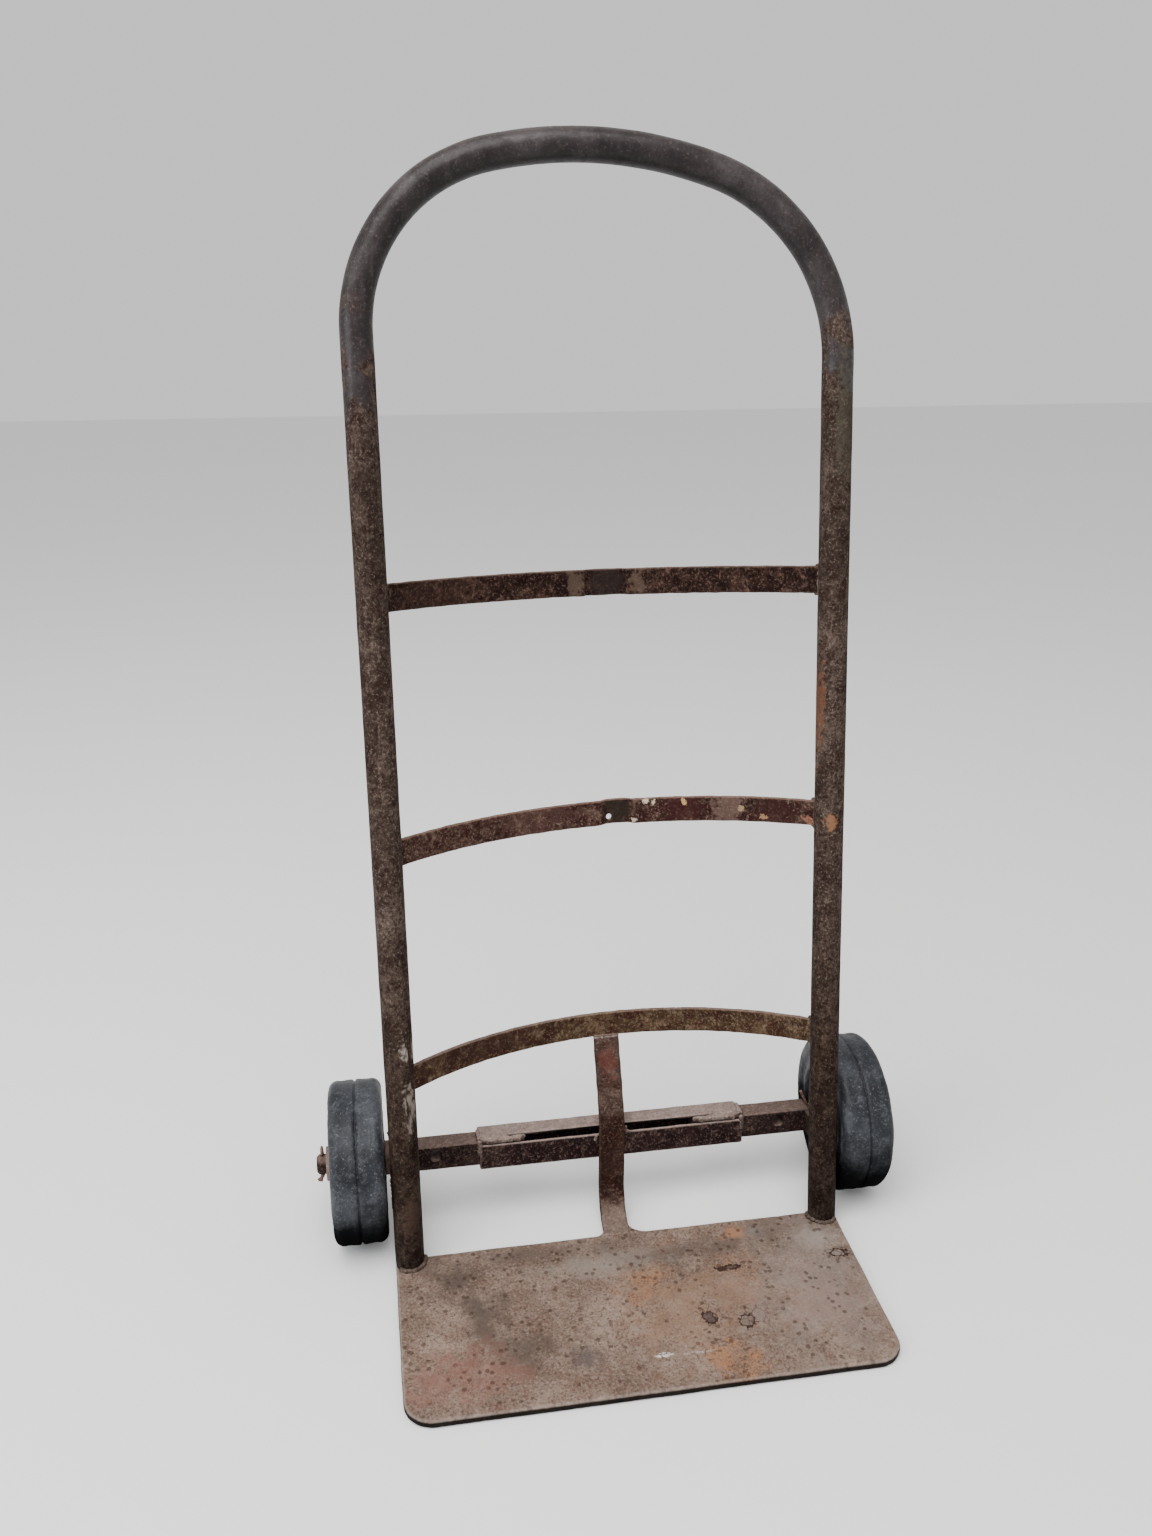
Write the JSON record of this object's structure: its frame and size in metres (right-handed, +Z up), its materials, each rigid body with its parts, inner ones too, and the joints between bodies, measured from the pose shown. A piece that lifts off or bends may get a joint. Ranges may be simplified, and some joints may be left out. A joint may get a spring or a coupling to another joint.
{
  "type": "hand truck",
  "caption": "Two-wheel hand truck: bent pipe frame with bowed flat crossbars, centre strap, steel nose plate and solid rubber wheels on stub axles.",
  "frame": {"origin": "on the floor under the nose plate, midway between the feet of the two rails", "axes": "+Z up, +Y to the back (the side the wheels and the user are on), +X to the right seen from the front of the nose plate looking at the frame"},
  "size_m": [0.5694, 0.3592, 0.9779],
  "materials": {
    "tube_steel": "rusted",
    "bar_steel": "worn",
    "lower_bar_steel": "worn",
    "strap_steel": "rusted",
    "plate_steel": "rusted",
    "axle_steel": "rusted",
    "weld_metal": "rusted",
    "pin_steel": "rusted",
    "tyre_rubber": "matte",
    "hub_iron": "matte",
    "bushing_bronze": "matte"
  },
  "bodies": {
    "frame": {"frame_tube": "tube_steel", "upper_crossbar": "bar_steel", "middle_crossbar": "bar_steel", "lower_crossbar": "lower_bar_steel", "centre_strap": "strap_steel", "nose_plate": "plate_steel", "axle_front_angle": "axle_steel", "axle_rear_angle": "axle_steel", "left_axle_stub": "axle_steel", "right_axle_stub": "axle_steel", "left_axle_bracket": "tube_steel", "right_axle_bracket": "tube_steel", "rail_foot_welds": "weld_metal", "upper_bar_welds": "weld_metal", "middle_bar_welds": "weld_metal", "lower_bar_welds": "weld_metal", "axle_box_welds": "weld_metal", "strap_welds": "weld_metal", "left_inner_washer": "pin_steel", "right_inner_washer": "pin_steel", "left_outer_washer": "pin_steel", "right_outer_washer": "pin_steel", "left_inner_pin": "pin_steel", "right_inner_pin": "pin_steel", "left_outer_pin": "pin_steel", "right_outer_pin": "pin_steel"},
    "left_wheel": {"left_tyre": "tyre_rubber", "left_hub": "hub_iron", "left_bushing": "bushing_bronze"},
    "right_wheel": {"right_tyre": "tyre_rubber", "right_hub": "hub_iron", "right_bushing": "bushing_bronze"}
  },
  "joints": [
    {"name": "left_wheel_spin", "type": "hinge", "parent": "frame", "child": "left_wheel", "pos_m": [-0.243, 0.06809, 0.07598], "axis": [1, 0, 0], "continuous": true},
    {"name": "right_wheel_spin", "type": "hinge", "parent": "frame", "child": "right_wheel", "pos_m": [0.243, 0.06809, 0.07598], "axis": [1, 0, 0], "continuous": true}
  ]
}
